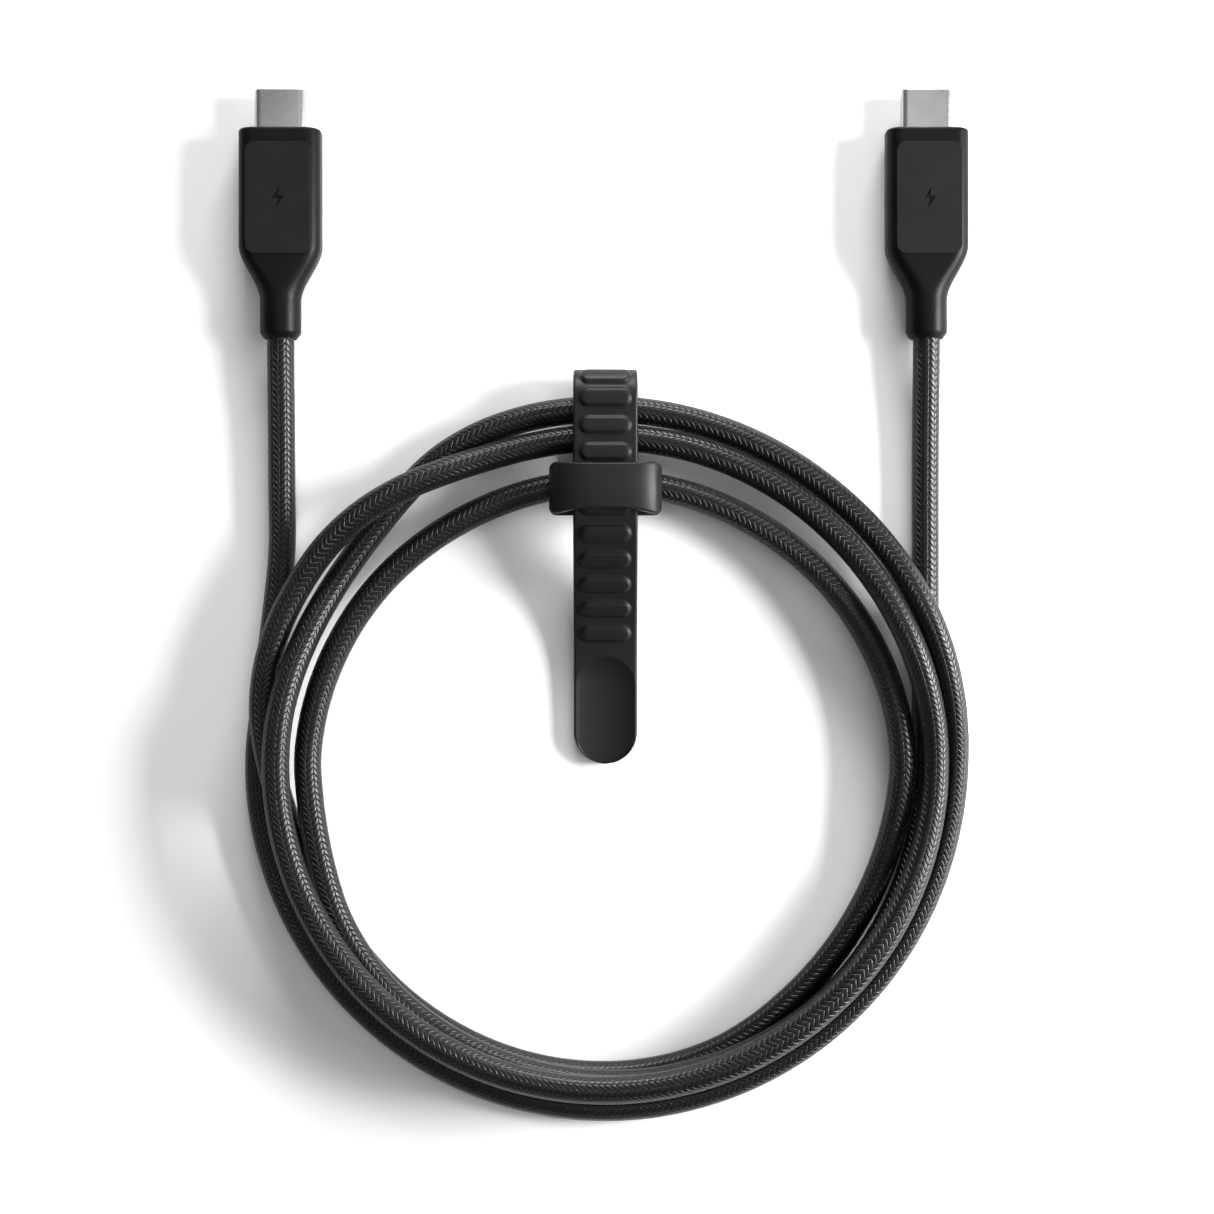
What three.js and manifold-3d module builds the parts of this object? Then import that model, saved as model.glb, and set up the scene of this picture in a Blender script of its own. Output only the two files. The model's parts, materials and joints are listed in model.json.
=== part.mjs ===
// Coiled charging cable: two flat-bodied plugs, one braided cord wound into three and a half
// turns, and a soft strap tie that holds the turns together. Millimetres, +Z up.
// The cable lies flat on z = 0. +Y points the way the plugs point, +X to the right.
import * as THREE from 'three';
import { mergeVertices } from 'three/addons/utils/BufferGeometryUtils.js';
import Module from 'manifold-3d';

const wasm = await Module();
wasm.setup();

// ---- driving dimensions ----------------------------------------------------------------

const GAP = 0.3; // running gap between neighbouring pieces
const FINE_GAP = 0.1; // the same inside a plug

const CORD = { radius: 2.1, sides: 12, steps: 112 };
const COIL = { x: 0.35, y: -52.9 }; // centre of the turns

const PLUG = {
  x: 51.45, // each side of the middle
  z: 3.3, // axis height: half the body's thickness
  faceY: 47.3, // the body's front face
};
const BODY = {
  width: 13.05, height: 6.36, corner: 2.3,
  straight: 18.4, // length of the full-width stretch
  taper: 8.8, // length of the taper behind it
  neckRadius: 3.25, neck: 6.0, neckEndRadius: 2.9,
};
const PAD = { width: 10.3, length: 17.7, corner: 1.2, raise: 0.12, from: 2.4 };
const CAVITY = { width: 10.7, height: 4.5, frontWall: 1.4, back: 16.6, taper: 7.4, bore: 2.4 };
const SHELL = { width: 8.25, height: 2.4, corner: 1.15, wall: 0.2, out: 6.4, back: 8.0 };
const SLEEVE = { wall: 0.36, out: 5.9, back: 6.0 };
const CONTACT = { count: 12, pitch: 0.5, width: 0.25, thick: 0.12, z: 0.39, out: 4.4, back: 7.0, root: 0.6 };
const LATCH = { thick: 0.2, halfWidth: 3.3, arm: 0.22, out: 4.9, web: -0.6, back: 6.5 };
const CARD = { width: 7.4, thick: 0.5, front: 6.7, back: 14.4 };
const CHIP = { size: 2.2, thick: 0.8, y: 10.6 };
const CAN = { width: 9.9, height: 3.7, wall: 0.25, front: 8.3, back: 15.8 };
const CORE = { radius: 1.25, front: 16.4, back: 21.0 };
const FERRULE = { inner: 1.4, outer: 1.95, front: 16.9, back: 20.9 };
const JACKET = { radius: 1.9, front: 21.2, back: 31.2 };
const CORD_ENTRY = 31.5; // the braid starts this far behind the plug body's face
const WIRE = {
  radius: 0.24, sides: 8, steps: 8,
  onCard: 1.2, beforeCard: 0.2, // the soldered length, and the straight length behind the card
  gather: 0.28, lift: 1.05, // how the wires close up towards the core, across and in height
  outer: 2.6, inner: 1.5, // distance of each pair from the middle
};

const STRAP = { x: 0.3, width: 10.15, thick: 1.8, edge: 0.35 };
const FOLD = { y: 3.97, segments: 18 }; // where the strap turns back over the outer strand
const INNER_BEND_Y = -9.25; // where it turns up around the inner strand
const FRONT_Z = 9.15; // mid-thickness height of the run over the strands
const KEEPER = {
  width: 17.7, base: 1.3, baseZ: 6.65, wall: 1.3, innerHeight: 3.2, roundness: 2.6,
  back: -14.2, front: -5.9, crownBack: -13.2, crownFront: -6.5,
};
const TAIL_TIP_Y = -53.7;
const LUG = { pitch: 4.2, width: 8.0, length: 2.7, raise: 0.55, first: 3.8, count: 9 };
const THUMB = { y: -44.0, halfLength: 7.6, halfWidth: 3.9, depth: 0.5 };

// Height of the strap's mid-thickness along its free end, as [y, z].
const TAIL_LINE = [
  [FOLD.y - GAP, FRONT_Z], [-2, FRONT_Z], [-8, FRONT_Z], [-13.5, FRONT_Z - 0.1],
  [-17.5, 8.1], [-21.5, 6.6], [-25.5, 5.0], [-29.5, 3.5], [-33.5, 2.4],
  [-38, 1.75], [-43, 1.5], [-48, 1.4],
];

// The cord's turns as [degrees travelled, radius from the coil's centre, height]. 180 is the
// left side, 270 the near side, 360 the right side and 450 the far side, under the tie.
const TURNS = [
  // outer strand, from the left lead round to the tie
  [172, 55.3, 2.2], [188, 55.6, 2.2], [270, 55.7, 2.2], [340, 55.7, 2.2], [358, 55.7, 3.0],
  [368, 55.7, 4.9], [379, 55.7, 6.7], [387, 55.7, 6.7], [397, 55.7, 5.5], [412, 55.6, 4.4],
  [430, 55.6, 4.2], [467, 55.6, 4.2],
  // it dips under its neighbour and climbs to the top of the bundle
  [480, 54.6, 3.2], [490, 52.7, 3.2], [500, 51.5, 3.8], [510, 51.1, 5.3], [520, 51.1, 7.8],
  [530, 51.3, 10.2], [541, 51.4, 10.8], [562, 51.4, 10.8], [585, 51.2, 11.2],
  [630, 50.8, 11.3], [662, 51.0, 11.1], [690, 51.5, 9.8], [708, 51.9, 7.4], [720, 51.9, 6.9],
  [729, 51.8, 7.5], [737, 51.5, 8.4], [745, 51.3, 8.2], [756, 51.2, 7.0], [770, 51.2, 5.9],
  [790, 51.2, 5.7], [827, 51.2, 5.7],
  // over its neighbour to the outside, then in and down beneath the bundle
  [840, 52.3, 7.7], [850, 54.0, 8.4], [860, 55.3, 7.7], [870, 55.7, 6.9], [880, 55.7, 6.8],
  [890, 54.9, 6.9], [900, 53.1, 6.3], [910, 51.6, 4.6], [920, 50.7, 3.0], [934, 50.4, 2.2],
  [990, 50.5, 2.2], [1010, 50.0, 2.2], [1030, 48.3, 2.5], [1050, 47.2, 3.4],
  [1068, 46.9, 4.7], [1080, 47.1, 5.2], [1110, 45.7, 4.6], [1140, 44.4, 4.2],
  // inner strand under the tie, then down the left side and over to the right lead
  [1170, 44.1, 4.2], [1200, 44.4, 4.2], [1230, 45.8, 4.6], [1260, 47.2, 5.4],
  [1270, 47.1, 6.3], [1282, 47.9, 6.8], [1291, 48.9, 6.9], [1306, 49.9, 6.8],
  [1350, 50.8, 6.75], [1372, 51.2, 6.6], [1390, 51.7, 5.7], [1406, 51.7, 5.0],
  [1420, 51.5, 3.9], [1430, 51.2, 2.7], [1440, 51.1, 2.2],
];
const TURN_STEP = 7.5; // degrees between the points worked out along the turns

// The straight leads, as [y, z] from the plug down towards the coil.
const LEAD = [[PLUG.faceY - CORD_ENTRY, PLUG.z], [10, 3.2], [0, 2.5], [-10, 2.2], [-20, 2.2]];

// ---- materials -------------------------------------------------------------------------

const finish = (color, roughness, metalness = 0) =>
  new THREE.MeshStandardMaterial({ color, roughness, metalness });

const body = () => finish('#2b2b2d', 0.5);
const silicone = () => finish('#262627', 0.6);
const braid = () => finish('#1d1e1f', 0.55);
const steel = () => finish('#c2c3c4', 0.32, 1);
const tin = () => finish('#a9aaab', 0.4, 1);
const gold = () => finish('#d9b25a', 0.3, 1);
const moulded = () => finish('#17181a', 0.5);
const board = () => finish('#14502f', 0.5);
const epoxy = () => finish('#141414', 0.45);
const pvc = (color) => finish(color, 0.5);

// ---- solids ----------------------------------------------------------------------------

function solidOf(geometry) {
  const bare = geometry.clone();
  for (const name of Object.keys(bare.attributes)) {
    if (name !== 'position') bare.deleteAttribute(name);
  }
  const merged = mergeVertices(bare, 1e-4);
  const vertProperties = new Float32Array(merged.attributes.position.array);
  const triVerts = new Uint32Array(merged.index.array);
  return new wasm.Manifold(new wasm.Mesh({ numProp: 3, vertProperties, triVerts }));
}

function geometryOf(solid) {
  const { vertProperties, triVerts } = solid.getMesh();
  const geometry = new THREE.BufferGeometry();
  geometry.setAttribute('position', new THREE.BufferAttribute(vertProperties, 3));
  geometry.setIndex(new THREE.BufferAttribute(triVerts, 1));
  geometry.computeVertexNormals();
  return geometry;
}

const cut = (whole, ...tools) =>
  geometryOf(tools.reduce((rest, tool) => rest.subtract(solidOf(tool)), solidOf(whole)));

const join = (first, ...others) =>
  geometryOf(others.reduce((sum, other) => sum.add(solidOf(other)), solidOf(first)));

// Volume enclosed by a triangle list, negative when its faces point inwards.
function signedVolume(flat, index) {
  const corner = (k) => new THREE.Vector3().fromArray(flat, 3 * index[k]);
  let volume = 0;
  for (let k = 0; k < index.length; k += 3) {
    volume += corner(k).dot(corner(k + 1).cross(corner(k + 2))) / 6;
  }
  return volume;
}

// A closed skin over rings that all have the same number of points.
function loft(rings) {
  const count = rings[0].length;
  const flat = rings.flat().flatMap((p) => [p.x, p.y, p.z]);
  const index = [];
  for (let r = 0; r + 1 < rings.length; r += 1) {
    for (let i = 0; i < count; i += 1) {
      const [a, b] = [r * count + i, r * count + ((i + 1) % count)];
      index.push(a, b, a + count, b, b + count, a + count);
    }
  }
  const last = (rings.length - 1) * count;
  for (let i = 1; i + 1 < count; i += 1) {
    index.push(0, i + 1, i);
    index.push(last, last + i, last + i + 1);
  }
  if (signedVolume(flat, index) < 0) index.reverse();
  const geometry = new THREE.BufferGeometry();
  geometry.setAttribute('position', new THREE.Float32BufferAttribute(flat, 3));
  geometry.setIndex(index);
  return geometry;
}

// A rounded rectangle in the XZ plane at y, with the corners as arcs.
function roundedRing(width, height, corner, y, arc = 4) {
  const ring = [];
  const radius = Math.min(corner, width / 2 - 0.01, height / 2 - 0.01);
  for (const [sx, sz, start] of [[1, 1, 0], [-1, 1, 90], [-1, -1, 180], [1, -1, 270]]) {
    for (let i = 0; i <= arc; i += 1) {
      const angle = THREE.MathUtils.degToRad(start + (90 * i) / arc);
      const x = sx * (width / 2 - radius) + radius * Math.cos(angle);
      const z = sz * (height / 2 - radius) + radius * Math.sin(angle);
      ring.push(new THREE.Vector3(x, y, z));
    }
  }
  return ring;
}

// Sections given as [y, width, height, corner], from the back to the front.
const bar = (sections, arc) =>
  loft(sections.map(([y, width, height, corner]) => roundedRing(width, height, corner, y, arc)));

const block = (width, length, height, y, z = 0, x = 0) =>
  new THREE.BoxGeometry(width, length, height).translate(x, y, z);

// A turned piece along Y, from its back to its front. Its outline is [radius, y] points.
function turned(outline, segments = 24) {
  const points = outline.map(([radius, y]) => new THREE.Vector2(radius, y));
  return new THREE.LatheGeometry(points, segments);
}

const rod = (radius, back, front, segments) =>
  turned([[0, back], [radius, back], [radius, front], [0, front]], segments);

function tube(points, radius, sides, steps) {
  const section = new THREE.Shape();
  for (let i = 0; i < sides; i += 1) {
    const angle = (2 * Math.PI * i) / sides;
    const [x, y] = [radius * Math.cos(angle), radius * Math.sin(angle)];
    if (i === 0) section.moveTo(x, y);
    else section.lineTo(x, y);
  }
  const path = new THREE.CatmullRomCurve3(points, false, 'centripetal');
  path.arcLengthDivisions = 4 * steps;
  return new THREE.ExtrudeGeometry(section, { steps, extrudePath: path, bevelEnabled: false });
}

const rounded = (shape, width, length, corner) => {
  const [x, y] = [width / 2, length / 2];
  shape.moveTo(-x + corner, -y);
  shape.lineTo(x - corner, -y);
  shape.absarc(x - corner, -y + corner, corner, -Math.PI / 2, 0);
  shape.lineTo(x, y - corner);
  shape.absarc(x - corner, y - corner, corner, 0, Math.PI / 2);
  shape.lineTo(-x + corner, y);
  shape.absarc(-x + corner, y - corner, corner, Math.PI / 2, Math.PI);
  shape.lineTo(-x, -y + corner);
  shape.absarc(-x + corner, -y + corner, corner, Math.PI, 1.5 * Math.PI);
  return shape;
};

// A flat slab with rounded corners, its underside at z.
function slab(width, length, corner, thick, z, curveSegments = 4) {
  const shape = rounded(new THREE.Shape(), width, length, corner);
  return new THREE.ExtrudeGeometry(shape, { depth: thick, bevelEnabled: false, curveSegments })
    .translate(0, 0, z);
}

// ---- plug ------------------------------------------------------------------------------
// Drawn about its own axis: y = 0 is the body's front face and +y points to the mouth.

// Body sections from the neck end to the front face, as y, width, height and corner radius.
const NECK_CHAMFER = 0.5;
const FRONT_EDGE = { depth: 1.0, mid: 0.3, midInset: [0.4, 0.35], faceInset: [1.1, 0.9] };
const TAPER_STEPS = [0.85, 0.7, 0.55, 0.4, 0.25, 0.1]; // shares of the taper, from the neck up
const PAD_ROOT = 0.5; // the pads reach this deep into the body
const CAVITY_CORNER = 1.2;

function plugBody() {
  const { width, height, corner, straight, taper, neckRadius, neck, neckEndRadius } = BODY;
  const neckWidth = 2 * neckRadius;
  const endWidth = 2 * neckEndRadius;
  const sections = [
    [-(straight + taper + neck), endWidth, endWidth, neckEndRadius],
    [-(straight + taper + neck) + NECK_CHAMFER, neckWidth, neckWidth, neckRadius],
    [-(straight + taper), neckWidth, neckWidth, neckRadius],
  ];
  for (const t of TAPER_STEPS) {
    const ease = t * t * (3 - 2 * t);
    const mix = (wide, narrow) => wide + (narrow - wide) * ease;
    sections.push([
      -(straight + taper * t), mix(width, neckWidth), mix(height, neckWidth),
      mix(corner, neckRadius),
    ]);
  }
  const [midX, midZ] = FRONT_EDGE.midInset;
  const [faceX, faceZ] = FRONT_EDGE.faceInset;
  sections.push(
    [-straight, width, height, corner],
    [-FRONT_EDGE.depth, width, height, corner],
    [-FRONT_EDGE.mid, width - midX, height - midZ, corner],
    [0, width - faceX, height - faceZ, corner],
  );
  const outside = bar(sections, 5);
  const padY = -(PAD.from + PAD.length / 2);
  const top = height / 2;
  const pads = [1, -1].map((side) => {
    const z = side > 0 ? top - PAD_ROOT : -top - PAD.raise;
    return slab(PAD.width, PAD.length, PAD.corner, PAD_ROOT + PAD.raise, z)
      .translate(0, padY, 0);
  });
  const { bore, frontWall, back } = CAVITY;
  const hollow = bar([
    [-(straight + taper + neck) - 1, 2 * bore, 2 * bore, bore],
    [-(back + CAVITY.taper), 2 * bore, 2 * bore, bore],
    [-back, CAVITY.width, CAVITY.height, CAVITY_CORNER],
    [-frontWall, CAVITY.width, CAVITY.height, CAVITY_CORNER],
  ]);
  const mouth = bar([
    [-frontWall - 0.5, SHELL.width + 2 * FINE_GAP, SHELL.height + 2 * FINE_GAP, SHELL.corner],
    [1, SHELL.width + 2 * FINE_GAP, SHELL.height + 2 * FINE_GAP, SHELL.corner],
  ]);
  return cut(join(outside, ...pads), hollow, mouth);
}

function hollowBar(width, height, corner, wall, back, front) {
  const outside = bar([[back, width, height, corner], [front, width, height, corner]]);
  const inside = bar([
    [back - 1, width - 2 * wall, height - 2 * wall, corner - wall],
    [front + 1, width - 2 * wall, height - 2 * wall, corner - wall],
  ]);
  return cut(outside, inside);
}

const plugShell = () =>
  hollowBar(SHELL.width, SHELL.height, SHELL.corner, SHELL.wall, -SHELL.back, SHELL.out);

function mouthSleeve() {
  const inset = 2 * (SHELL.wall + FINE_GAP);
  const [width, height] = [SHELL.width - inset, SHELL.height - inset];
  return hollowBar(width, height, height / 2 - 0.02, SLEEVE.wall, -SLEEVE.back, SLEEVE.out);
}

function contactRow(side) {
  const { count, pitch, width, thick, z, out, back } = CONTACT;
  const fingers = [];
  for (let i = 0; i < count; i += 1) {
    const x = (i - (count - 1) / 2) * pitch;
    fingers.push(block(width, out + back, thick, (out - back) / 2, side * z, x));
  }
  const root = block(pitch * count, CONTACT.root, thick, -back + CONTACT.root / 2, side * z);
  return join(root, ...fingers);
}

function latchSpring() {
  const { thick, halfWidth, arm, out, web, back } = LATCH;
  const plate = block(2 * halfWidth, back + web, thick, (web - back) / 2);
  const arms = [1, -1].map((side) =>
    block(arm, out - web + 0.2, thick, (out + web - 0.2) / 2, 0, side * (halfWidth - arm / 2)));
  return join(plate, ...arms);
}

const paddleCard = () =>
  block(CARD.width, CARD.back - CARD.front, CARD.thick, -(CARD.front + CARD.back) / 2);

const controllerChip = () =>
  block(CHIP.size, CHIP.size, CHIP.thick, -CHIP.y, CARD.thick / 2 + FINE_GAP + CHIP.thick / 2);

// Half of the pressed shield that wraps the card: a channel, open towards the other half.
function shieldHalf(side) {
  const { width, height, wall, front, back } = CAN;
  const [length, middle] = [back - front, -(front + back) / 2];
  const deep = (height - FINE_GAP) / 2;
  const tray = block(width, length, deep, middle, side * (FINE_GAP + deep) / 2);
  const room = block(width - 2 * wall, length + 1, deep, middle, side * ((FINE_GAP + deep) / 2 - wall));
  return cut(tray, room);
}

const cordCore = () => rod(CORE.radius, -CORE.back, -CORE.front, 16);

const crimpFerrule = () => turned([
  [FERRULE.inner, -FERRULE.back], [FERRULE.outer, -FERRULE.back],
  [FERRULE.outer, -FERRULE.front], [FERRULE.inner, -FERRULE.front],
  [FERRULE.inner, -FERRULE.back],
]);

const innerJacket = () => rod(JACKET.radius, -JACKET.back, -JACKET.front, 16);

// A wire from the end of the core to its pad on the card.
function wire(x, side) {
  const z = side * (CARD.thick / 2 + FINE_GAP + WIRE.radius);
  const end = new THREE.Vector3(x, -CARD.back + WIRE.onCard, z);
  const bend = new THREE.Vector3(x, -CARD.back - WIRE.beforeCard, z);
  const start = new THREE.Vector3(x * WIRE.gather, -CORE.front + WIRE.beforeCard, z * WIRE.lift);
  return tube([start, bend, end], WIRE.radius, WIRE.sides, WIRE.steps);
}

function plug(name, x) {
  const group = new THREE.Group();
  group.position.set(x, PLUG.faceY, PLUG.z);
  const add = (piece, geometry, material) => {
    const mesh = new THREE.Mesh(geometry, material);
    mesh.name = `${name}_${piece}`;
    group.add(mesh);
  };
  add('body', plugBody(), body());
  add('steel_shell', plugShell(), steel());
  add('mouth_sleeve', mouthSleeve(), moulded());
  add('upper_contacts', contactRow(1), gold());
  add('lower_contacts', contactRow(-1), gold());
  add('latch_spring', latchSpring(), steel());
  add('paddle_card', paddleCard(), board());
  add('controller_chip', controllerChip(), epoxy());
  add('upper_shield', shieldHalf(1), tin());
  add('lower_shield', shieldHalf(-1), tin());
  add('power_wire', wire(-WIRE.outer, 1), pvc('#8f1f1f'));
  add('ground_wire', wire(WIRE.outer, 1), pvc('#202020'));
  add('data_wire', wire(-WIRE.inner, -1), pvc('#e0e0dc'));
  add('control_wire', wire(WIRE.inner, -1), pvc('#2a52a0'));
  add('cord_core', cordCore(), pvc('#d9d9d2'));
  add('crimp_ferrule', crimpFerrule(), tin());
  add('inner_jacket', innerJacket(), pvc('#1a1a1b'));
  return group;
}

// ---- cord ------------------------------------------------------------------------------

// Radius and height at an angle, by a smooth curve through the entries of TURNS.
function turnAt(angle) {
  let i = 0;
  while (i + 2 < TURNS.length && TURNS[i + 1][0] < angle) i += 1;
  const slope = (k, column) => {
    const [before, after] = [TURNS[Math.max(k - 1, 0)], TURNS[Math.min(k + 1, TURNS.length - 1)]];
    return (after[column] - before[column]) / (after[0] - before[0]);
  };
  const [start, end] = [TURNS[i], TURNS[i + 1]];
  const span = end[0] - start[0];
  const t = (angle - start[0]) / span;
  return [1, 2].map((column) => {
    const [p, q] = [start[column], end[column]];
    const [m, n] = [slope(i, column) * span, slope(i + 1, column) * span];
    return p * (2 * t ** 3 - 3 * t ** 2 + 1) + m * (t ** 3 - 2 * t ** 2 + t)
      + q * (3 * t ** 2 - 2 * t ** 3) + n * (t ** 3 - t ** 2);
  });
}

// The right lead leaves the coil lower down, so it has two more points (y, z).
const LEAD_BELOW = [[-40, 2.2], [-30, 2.2]];

function cordRoute() {
  const route = LEAD.map(([y, z]) => new THREE.Vector3(-PLUG.x, y, z));
  const last = TURNS[TURNS.length - 1][0];
  for (let angle = TURNS[0][0]; angle <= last + 1e-6; angle += TURN_STEP) {
    const [radius, z] = turnAt(angle);
    const turn = THREE.MathUtils.degToRad(angle);
    const x = COIL.x + radius * Math.cos(turn);
    route.push(new THREE.Vector3(x, COIL.y + radius * Math.sin(turn), z));
  }
  const back = [...LEAD_BELOW, ...[...LEAD].reverse()];
  return [...route, ...back.map(([y, z]) => new THREE.Vector3(PLUG.x, y, z))];
}

function braidedCord() {
  const mesh = new THREE.Mesh(
    tube(cordRoute(), CORD.radius, CORD.sides, CORD.steps), braid(),
  );
  mesh.name = 'braided_cord';
  return mesh;
}

// ---- tie -------------------------------------------------------------------------------
// Drawn with x = 0 on its centre line.

// A strip of the strap's width whose side view is the closed outline of [y, z] points.
function strip(outline) {
  const shape = new THREE.Shape(outline.map(([y, z]) => new THREE.Vector2(y, z)));
  const { width } = STRAP;
  return new THREE.ExtrudeGeometry(shape, { depth: width, bevelEnabled: false })
    .applyMatrix4(new THREE.Matrix4().makeBasis(
      new THREE.Vector3(0, 1, 0), new THREE.Vector3(0, 0, 1), new THREE.Vector3(1, 0, 0),
    )).translate(-width / 2, 0, 0);
}

function arcPoints(y, z, radius, from, to, segments) {
  const points = [];
  for (let i = 0; i <= segments; i += 1) {
    const angle = THREE.MathUtils.degToRad(from + ((to - from) * i) / segments);
    points.push([y + radius * Math.cos(angle), z + radius * Math.sin(angle)]);
  }
  return points;
}

// Under the strands, then up around the inner one to the underside of the keeper.
function strapBackRun() {
  const top = KEEPER.baseZ - GAP;
  const outer = (KEEPER.baseZ + KEEPER.base) / 2;
  const inner = (KEEPER.baseZ - STRAP.thick) / 2;
  const front = FOLD.y - GAP;
  return strip([
    [front, 0],
    ...arcPoints(INNER_BEND_Y, outer, outer, 270, 180, 9),
    [INNER_BEND_Y - outer, top], [INNER_BEND_Y - inner, top],
    ...arcPoints(INNER_BEND_Y, STRAP.thick + inner, inner, 180, 270, 8),
    [front, STRAP.thick],
  ]);
}

function strapFold() {
  const top = FRONT_Z + STRAP.thick / 2;
  const outer = top / 2;
  return strip([
    ...arcPoints(FOLD.y, outer, outer, -90, 90, FOLD.segments),
    ...arcPoints(FOLD.y, outer, outer - STRAP.thick, 90, -90, FOLD.segments),
  ]);
}

// The loop that holds the free end: a flat base and an arched band.
function keeperLoop() {
  const arch = (halfWidth, height, y) => {
    const ring = [];
    const power = 2 / KEEPER.roundness;
    for (let i = 0; i <= 20; i += 1) {
      const angle = (Math.PI * i) / 20;
      const [c, s] = [Math.cos(angle), Math.sin(angle)];
      const x = halfWidth * Math.sign(c) * Math.abs(c) ** power;
      ring.push(new THREE.Vector3(x, y, height * Math.abs(s) ** power));
    }
    return ring;
  };
  const half = KEEPER.width / 2;
  const floor = KEEPER.baseZ + KEEPER.base;
  const crown = KEEPER.innerHeight + KEEPER.wall;
  // each ring runs round the arch, with its edge drawn in towards the crown
  const outside = (base, crownY) => {
    const ring = arch(half, crown, base);
    for (const point of ring) point.y = base + ((crownY - base) * point.z) / crown;
    return ring;
  };
  const band = loft([
    outside(KEEPER.back, KEEPER.crownBack), outside(KEEPER.front, KEEPER.crownFront),
  ]).translate(0, 0, floor);
  const room = loft([
    arch(half - KEEPER.wall, KEEPER.innerHeight, KEEPER.back - 1),
    arch(half - KEEPER.wall, KEEPER.innerHeight, KEEPER.front + 1),
  ]).translate(0, 0, floor);
  const [length, middle] = [KEEPER.front - KEEPER.back, (KEEPER.front + KEEPER.back) / 2];
  const base = slab(KEEPER.width, length, 0.8, KEEPER.base + 0.02, KEEPER.baseZ)
    .translate(0, middle, 0);
  return join(cut(band, room), base);
}

// The free end: the run over the strands, through the keeper and down to the thumb pad.
function strapTail() {
  const line = new THREE.CatmullRomCurve3(
    TAIL_LINE.map(([y, z]) => new THREE.Vector3(0, y, z)), false, 'centripetal',
  );
  const half = STRAP.width / 2;
  const rings = [];
  const ring = (y, z, tilt, halfWidth, thick) => {
    const points = roundedRing(2 * halfWidth, thick, STRAP.edge, 0, 2);
    for (const p of points) {
      const height = p.z;
      p.set(-p.x, y - height * Math.sin(tilt), z + height * Math.cos(tilt));
    }
    rings.push(points);
  };
  const steps = 26;
  for (let i = 0; i <= steps; i += 1) {
    const point = line.getPoint(i / steps);
    const way = line.getTangent(i / steps);
    ring(point.y, point.z, Math.atan2(-way.z, -way.y), half, STRAP.thick);
  }
  const [lastY, lastZ] = TAIL_LINE[TAIL_LINE.length - 1];
  const round = TAIL_TIP_Y + half; // centre of the round end
  for (const angle of [15, 30, 45, 60, 72, 82]) {
    const a = THREE.MathUtils.degToRad(angle);
    ring(Math.min(round, lastY) - half * Math.sin(a), lastZ, 0, half * Math.cos(a), STRAP.thick);
  }
  const strap = loft(rings);
  const lugs = [];
  for (let i = 0; i < LUG.count; i += 1) lugs.push(lugOn(line, i));
  const [{ y, halfLength, halfWidth, depth }, top] = [THUMB, lastZ + STRAP.thick / 2];
  const dish = new THREE.SphereGeometry(1, 24, 12).rotateX(Math.PI / 2)
    .scale(halfWidth, halfLength, 2 * depth).translate(0, y, top + depth);
  return cut(join(strap, ...lugs), dish);
}

// One raised bar on the strap, square to its surface and a set way along it.
function lugOn(line, i) {
  const along = (LUG.first + LUG.pitch * i) / line.getLength();
  const point = line.getPointAt(along);
  const way = line.getTangentAt(along);
  const sunk = STRAP.thick / 4;
  return slab(LUG.width, LUG.length, LUG.length / 2 - 0.01, LUG.raise + sunk,
    STRAP.thick / 2 - sunk).rotateX(Math.atan2(-way.z, -way.y))
    .translate(0, point.y, point.z);
}

function tie() {
  const group = new THREE.Group();
  group.position.x = STRAP.x;
  const pieces = [
    ['strap_back_run', strapBackRun()], ['strap_fold', strapFold()],
    ['keeper_loop', keeperLoop()], ['strap_tail', strapTail()],
  ];
  for (const [name, geometry] of pieces) {
    const mesh = new THREE.Mesh(geometry, silicone());
    mesh.name = name;
    group.add(mesh);
  }
  return group;
}

// ---- the cable -------------------------------------------------------------------------

const cable = new THREE.Group();
cable.add(plug('left_plug', -PLUG.x), plug('right_plug', PLUG.x), braidedCord(), tie());

export default cable;
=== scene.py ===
"""Looks for the coiled charging cable: a braided cord, two flat-bodied plugs and a strap tie."""

import json
import math

import bmesh
import bpy
import mathutils
import numpy as np
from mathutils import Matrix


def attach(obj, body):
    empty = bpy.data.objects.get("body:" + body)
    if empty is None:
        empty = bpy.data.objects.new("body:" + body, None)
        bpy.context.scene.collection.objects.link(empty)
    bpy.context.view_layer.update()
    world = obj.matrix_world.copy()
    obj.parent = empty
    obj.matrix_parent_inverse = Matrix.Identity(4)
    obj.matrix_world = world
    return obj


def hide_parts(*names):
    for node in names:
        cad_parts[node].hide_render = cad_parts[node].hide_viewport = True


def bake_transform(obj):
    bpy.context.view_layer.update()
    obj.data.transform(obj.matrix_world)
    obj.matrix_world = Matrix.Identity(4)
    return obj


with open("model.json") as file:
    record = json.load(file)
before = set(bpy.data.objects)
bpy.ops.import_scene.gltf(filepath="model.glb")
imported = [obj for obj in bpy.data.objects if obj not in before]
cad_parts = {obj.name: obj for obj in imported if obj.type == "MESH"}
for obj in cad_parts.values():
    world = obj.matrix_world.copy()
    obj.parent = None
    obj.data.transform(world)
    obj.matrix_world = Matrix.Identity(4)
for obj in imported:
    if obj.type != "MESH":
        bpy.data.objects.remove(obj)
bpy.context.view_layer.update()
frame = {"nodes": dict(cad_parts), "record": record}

# ---- sizes, in metres ------------------------------------------------------------------

MM = 0.001
CORD_RADIUS = 2.15 * MM
COIL_CENTRE = np.array([0.35, -52.9]) * MM
PLUG_X = 51.45 * MM
PLUG_Z = 3.3 * MM
FACE_Y = 47.3 * MM  # front face of each plug body

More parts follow.
